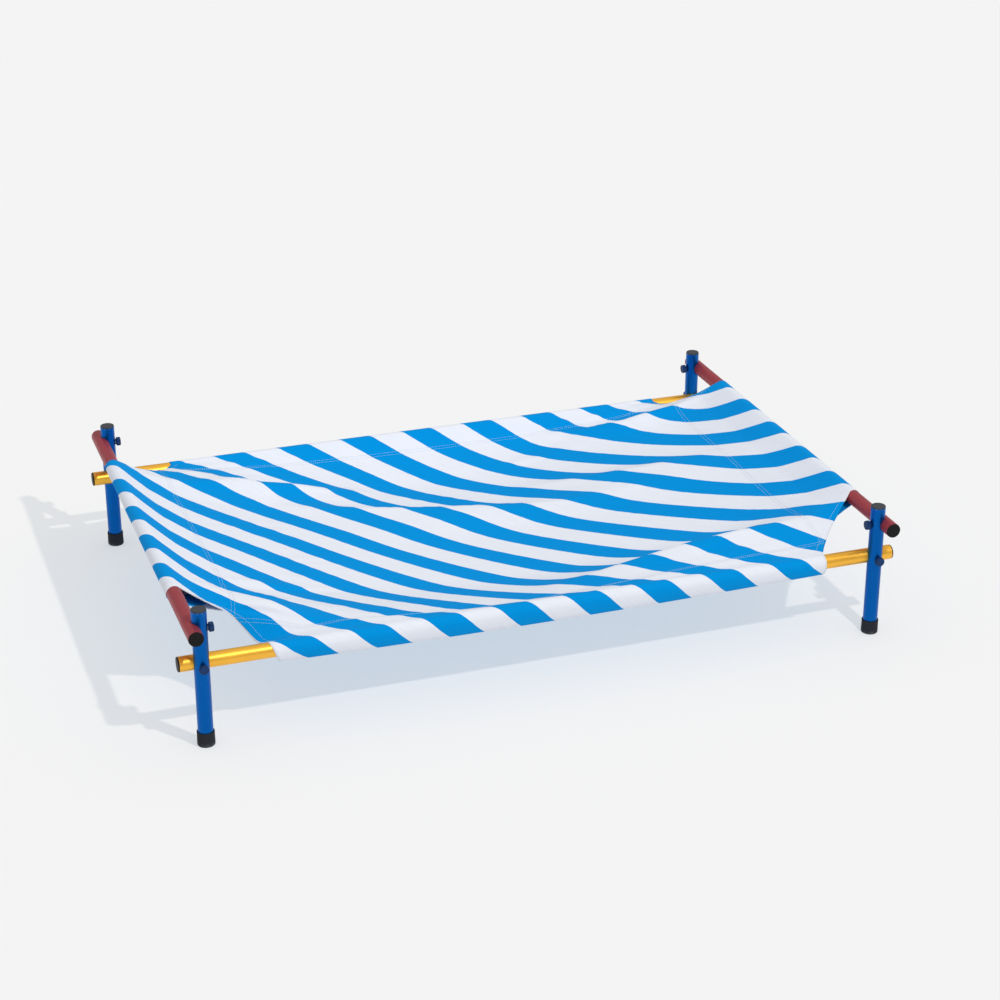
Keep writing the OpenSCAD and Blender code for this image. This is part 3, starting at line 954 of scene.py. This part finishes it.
def build_frame():
    for rail in ("end_rail_left", "end_rail_right"):
        refinish(rail, RED_TUBE)
    for rail in ("side_rail_front", "side_rail_back"):
        refinish(rail, GOLD_TUBE)
    for corner, (sx, sy) in CORNERS.items():
        build_corner(corner, sx, sy)


def build_sling():
    flat, median = cut_sheet()
    median = settle(flat, median)
    flat, median = refine(flat, FINER), crease(refine(median, FINER))
    mesh, top = sew(flat, median)
    sling = add("canvas_sling", mesh, canvas_finish())
    thickness = sling.modifiers.new("thickness", "SOLIDIFY")
    thickness.thickness = CANVAS
    thickness.offset = 0
    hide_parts("sling")
    thread = add("sling_stitching", stitch(seam_lines(top, flat), Surface(top)), thread_finish())


build_frame()
build_sling()


# ---- Floor, light and camera ----

FLOOR_RADIUS = 30
FLOOR_SIDES = 96
# The floor is a lit table: its own light, and how much of the room's light it sends back
TABLE_GLOW = (0.45, 0.50, 0.55, 1)
TABLE_ALBEDO = (0.455, 0.405, 0.355)
# What the camera sees past the edge of the floor
BACKDROP = (0.90, 0.90, 0.91, 1)
# Brightness of the room, from level with the floor, 0, to straight overhead, 1
ROOM = [(0, (0.40, 0.41, 0.43, 1)), (0.6, (0.63, 0.63, 0.63, 1)), (1, (0.82, 0.81, 0.80, 1))]
KEY_PLACE = (0.545, -1.8, 2.17)
KEY_RADIUS = 40 * MM
KEY_STRENGTH = 13.0
# The camera stands where the photo was taken from. Degrees below level, and to the right of straight back
CAMERA_PLACE = (-1.0261, -3.0582, 1.6036)
CAMERA_DOWN = 24.27
CAMERA_RIGHT = 19.18
# In mm
SENSOR_WIDTH = 36
FOCAL_LENGTH = 81.4


def lay_floor():
    floor = bpy.data.meshes.new("floor")
    angles = np.arange(FLOOR_SIDES) * 2 * math.pi / FLOOR_SIDES
    rim = [(FLOOR_RADIUS * math.cos(a), FLOOR_RADIUS * math.sin(a), 0) for a in angles]
    floor.from_pydata(rim, [], [list(range(FLOOR_SIDES))])
    table = Finish(
        "lit_table", Roughness=1.0, Specular_IOR_Level=0.0, Emission_Color=TABLE_GLOW, Emission_Strength=1.0
    )
    cloud = table.noise(table.place(), (2, 2, 2))
    table.connect("Base Color", table.mix(cloud, scaled(TABLE_ALBEDO, 0.995), scaled(TABLE_ALBEDO, 1.005)))
    floor.materials.append(table.material)
    piece = bpy.data.objects.new("floor", floor)
    bpy.context.scene.collection.objects.link(piece)


def light_room():
    """A bright ceiling over slightly bluish walls, and a pale backdrop for the camera only."""
    world = bpy.data.worlds.new("room")
    world.use_nodes = True
    bpy.context.scene.world = world
    tree = world.node_tree
    sky = tree.nodes["Background"]
    ramp = tree.nodes.new("ShaderNodeValToRGB")
    split = tree.nodes.new("ShaderNodeSeparateXYZ")
    way = tree.nodes.new("ShaderNodeTexCoord")
    tree.links.new(way.outputs["Generated"], split.inputs[0])
    tree.links.new(split.outputs["Z"], ramp.inputs[0])
    seen = tree.nodes.new("ShaderNodeLightPath")
    backdrop = tree.nodes.new("ShaderNodeMix")
    backdrop.data_type = "RGBA"
    backdrop.inputs[7].default_value = BACKDROP
    tree.links.new(seen.outputs["Is Camera Ray"], backdrop.inputs[0])
    tree.links.new(ramp.outputs[0], backdrop.inputs[6])
    tree.links.new(backdrop.outputs[2], sky.inputs["Color"])
    stops = ramp.color_ramp.elements
    stops.new(0.5)
    for stop, (place, colour) in zip(stops, ROOM):
        stop.position = place
        stop.color = colour


def light_key():
    """A small lamp high at the front right. It lights the whole floor evenly."""
    lamp = bpy.data.lights.new("key", "POINT")
    lamp.shadow_soft_size = KEY_RADIUS
    lamp.energy = 1
    lamp.use_nodes = True
    tree = lamp.node_tree
    falloff = tree.nodes.new("ShaderNodeLightFalloff")
    way = tree.nodes.new("ShaderNodeTexCoord")
    split = tree.nodes.new("ShaderNodeSeparateXYZ")
    steepness = tree.nodes.new("ShaderNodeMath")
    steepness.operation = "ABSOLUTE"
    share = tree.nodes.new("ShaderNodeMath")
    share.operation = "DIVIDE"
    falloff.inputs["Strength"].default_value = KEY_STRENGTH
    tree.links.new(way.outputs["Normal"], split.inputs[0])
    tree.links.new(split.outputs["Z"], steepness.inputs[0])
    tree.links.new(falloff.outputs["Constant"], share.inputs[0])
    tree.links.new(steepness.outputs[0], share.inputs[1])
    tree.links.new(share.outputs[0], tree.nodes["Emission"].inputs["Strength"])
    piece = bpy.data.objects.new("key", lamp)
    piece.location = KEY_PLACE
    bpy.context.scene.collection.objects.link(piece)


def set_camera():
    camera = bpy.data.cameras.new("camera")
    camera.sensor_width = SENSOR_WIDTH
    camera.lens = FOCAL_LENGTH
    piece = bpy.data.objects.new("camera", camera)
    piece.location = CAMERA_PLACE
    piece.rotation_euler = (math.radians(90 - CAMERA_DOWN), 0, math.radians(-CAMERA_RIGHT))
    bpy.context.scene.collection.objects.link(piece)
    bpy.context.scene.camera = piece


lay_floor()
light_room()
light_key()
set_camera()
bpy.context.scene.view_settings.view_transform = "Standard"
